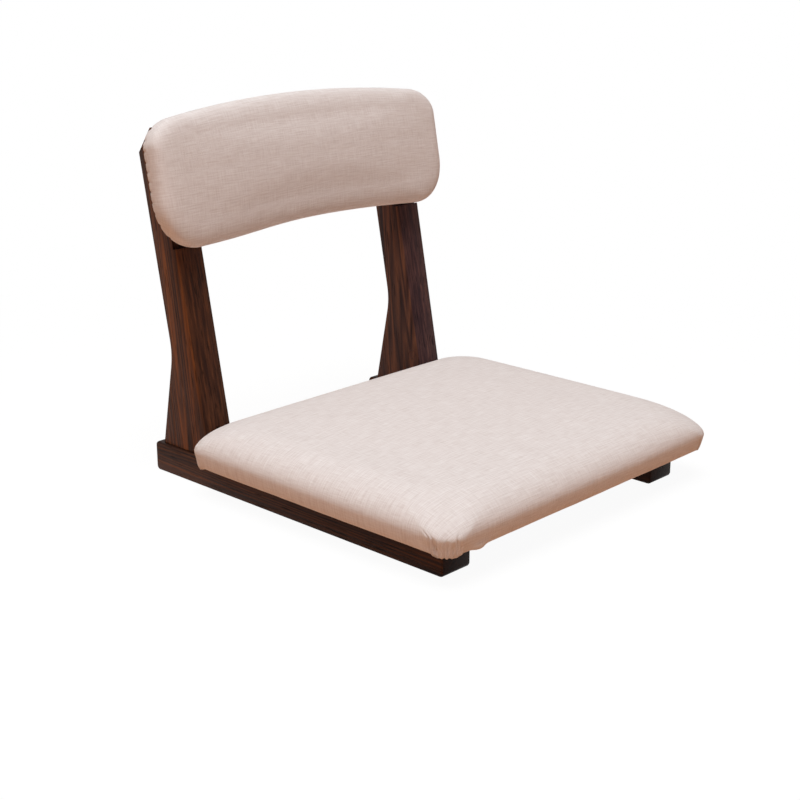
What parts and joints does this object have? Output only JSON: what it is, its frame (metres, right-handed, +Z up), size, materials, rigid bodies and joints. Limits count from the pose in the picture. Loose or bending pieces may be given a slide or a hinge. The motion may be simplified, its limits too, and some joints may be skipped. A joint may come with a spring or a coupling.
{
  "type": "folding floor chair",
  "caption": "Low legless floor chair on two wooden skids, with an upholstered seat and a backrest that folds forward over it.",
  "frame": {"origin": "on the floor, at the middle of the chair's footprint", "axes": "+X towards the sitter's left, -Y towards the front of the seat, +Z up"},
  "size_m": [0.4588, 0.493, 0.423],
  "materials": {
    "timber": "satin",
    "plywood": "matte",
    "foam": "matte",
    "fabric": "matte",
    "lining": "matte",
    "steel": "satin",
    "dark_steel": "satin",
    "bronze": "satin"
  },
  "bodies": {
    "base": {"skid_right": "timber", "skid_left": "timber", "hinge_tongue_right": "dark_steel", "hinge_tongue_left": "dark_steel", "hinge_bush_right": "bronze", "hinge_bush_left": "bronze", "tongue_screw_lower_right": "steel", "tongue_screw_lower_left": "steel", "tongue_screw_upper_right": "steel", "tongue_screw_upper_left": "steel", "seat_board": "plywood", "seat_foam": "foam", "seat_cover": "fabric", "seat_dust_cloth": "lining", "seat_bolt_front_right": "steel", "seat_bolt_front_left": "steel", "seat_bolt_rear_right": "steel", "seat_bolt_rear_left": "steel", "seat_tee_nut_front_right": "steel", "seat_tee_nut_front_left": "steel", "seat_tee_nut_rear_right": "steel", "seat_tee_nut_rear_left": "steel"},
    "back": {"post_right": "timber", "post_left": "timber", "hinge_pin_right": "steel", "hinge_pin_left": "steel", "hinge_plug_right": "timber", "hinge_plug_left": "timber", "back_board": "plywood", "back_foam": "foam", "back_cover": "fabric", "back_lining": "fabric", "back_bolt_upper_right": "steel", "back_bolt_upper_left": "steel", "back_bolt_lower_right": "steel", "back_bolt_lower_left": "steel", "back_tee_nut_upper_right": "steel", "back_tee_nut_upper_left": "steel", "back_tee_nut_lower_right": "steel", "back_tee_nut_lower_left": "steel"}
  },
  "joints": [
    {"name": "back_fold", "type": "hinge", "parent": "base", "child": "back", "pos_m": [0, 0.16286, 0.08], "axis": [1, 0, 0], "range_deg": [0, 80]}
  ]
}
